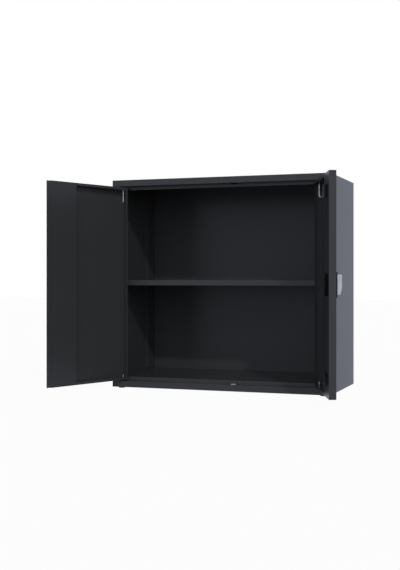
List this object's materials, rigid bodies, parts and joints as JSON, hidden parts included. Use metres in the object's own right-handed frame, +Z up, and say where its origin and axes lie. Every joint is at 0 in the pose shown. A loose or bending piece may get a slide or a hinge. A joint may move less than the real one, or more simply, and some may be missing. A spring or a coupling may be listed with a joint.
{
  "type": "two-door office cabinet",
  "caption": "Low sheet-steel office cabinet with hinged doors standing open, a meeting strip, a loose shelf on slotted strips, pull-out hinge pins and a turn handle that throws rods by rack and pinion.",
  "frame": {"origin": "on the floor, under the middle of the carcass", "axes": "+Z up, the front with its doors faces -Y, +X to the right as seen from the front"},
  "size_m": [0.987, 0.7555, 0.75],
  "materials": {
    "cabinet_paint": "black semi-gloss powder coat",
    "door_paint": "black semi-gloss powder coat",
    "zinc_steel": "zinc plated",
    "bright_steel": "bright nickel plated",
    "black_steel": "black zinc plated",
    "satin_nickel": "satin nickel plated",
    "black_plastic": "matt moulded",
    "black_rubber": "matt"
  },
  "bodies": {
    "carcass": {"left_side_panel": "cabinet_paint", "right_side_panel": "cabinet_paint", "left_front_strip": "cabinet_paint", "left_rear_strip": "cabinet_paint", "right_front_strip": "cabinet_paint", "right_rear_strip": "cabinet_paint", "top_panel": "cabinet_paint", "bottom_panel": "cabinet_paint", "back_panel": "cabinet_paint", "shelf": "cabinet_paint", "shelf_clips": "zinc_steel", "feet": "black_plastic", "upper_hinge_bushes": "black_plastic", "lower_hinge_bushes": "black_plastic", "upper_keeper": "black_plastic", "lower_keeper": "zinc_steel", "door_buffers": "black_rubber"},
    "left_door": {"left_door_leaf": "door_paint", "left_door_stiffener": "door_paint", "meeting_strip": "door_paint", "left_pivot_pin": "zinc_steel"},
    "left_pin": {"left_hinge_pin": "zinc_steel"},
    "right_door": {"right_door_leaf": "door_paint", "right_door_stiffener": "door_paint", "right_pivot_pin": "zinc_steel", "handle_base_plate": "black_plastic", "lock_case": "black_plastic", "lock_case_screws": "black_steel", "upper_rod_guide": "black_plastic", "lower_rod_guide": "black_plastic", "rod_guide_screws": "black_steel"},
    "right_pin": {"right_hinge_pin": "zinc_steel"},
    "handle_unit": {"handle": "satin_nickel", "handle_spindle": "zinc_steel", "drive_pinion": "zinc_steel"},
    "lock_plug": {"lock_cylinder": "bright_steel"},
    "upper_rod_body": {"upper_rod": "zinc_steel"},
    "lower_rod_body": {"lower_rod": "zinc_steel"}
  },
  "joints": [
    {"name": "left_door_hinge", "type": "hinge", "parent": "carcass", "child": "left_door", "pos_m": [-0.361, -0.193, 0], "axis": [0, 0, 1], "range_deg": [0, 110]},
    {"name": "right_door_hinge", "type": "hinge", "parent": "carcass", "child": "right_door", "pos_m": [0.361, -0.193, 0], "axis": [0, 0, -1], "range_deg": [0, 110]},
    {"name": "handle_turn", "type": "hinge", "parent": "right_door", "child": "handle_unit", "pos_m": [0.45938, -0.4823, 0.377], "axis": [-0.9397, -0.342, 0], "range_deg": [0, 90]},
    {"name": "lock_cylinder_turn", "type": "hinge", "parent": "handle_unit", "child": "lock_plug", "pos_m": [0.45938, -0.4823, 0.377], "axis": [-0.9397, -0.342, 0], "range_deg": [0, 90]},
    {"name": "upper_rod_slide", "type": "slide", "parent": "right_door", "child": "upper_rod_body", "axis": [0, 0, 1], "range_m": [0, 0.01414]},
    {"name": "lower_rod_slide", "type": "slide", "parent": "right_door", "child": "lower_rod_body", "axis": [0, 0, -1], "range_m": [0, 0.01414]},
    {"name": "left_pin_slide", "type": "slide", "parent": "left_door", "child": "left_pin", "axis": [0, 0, -1], "range_m": [0, 0.011]},
    {"name": "right_pin_slide", "type": "slide", "parent": "right_door", "child": "right_pin", "axis": [0, 0, -1], "range_m": [0, 0.011]}
  ],
  "couplings": [
    {"joint": "upper_rod_slide", "follows": "handle_turn", "m_per_rad": 0.009},
    {"joint": "lower_rod_slide", "follows": "handle_turn", "m_per_rad": 0.009}
  ]
}
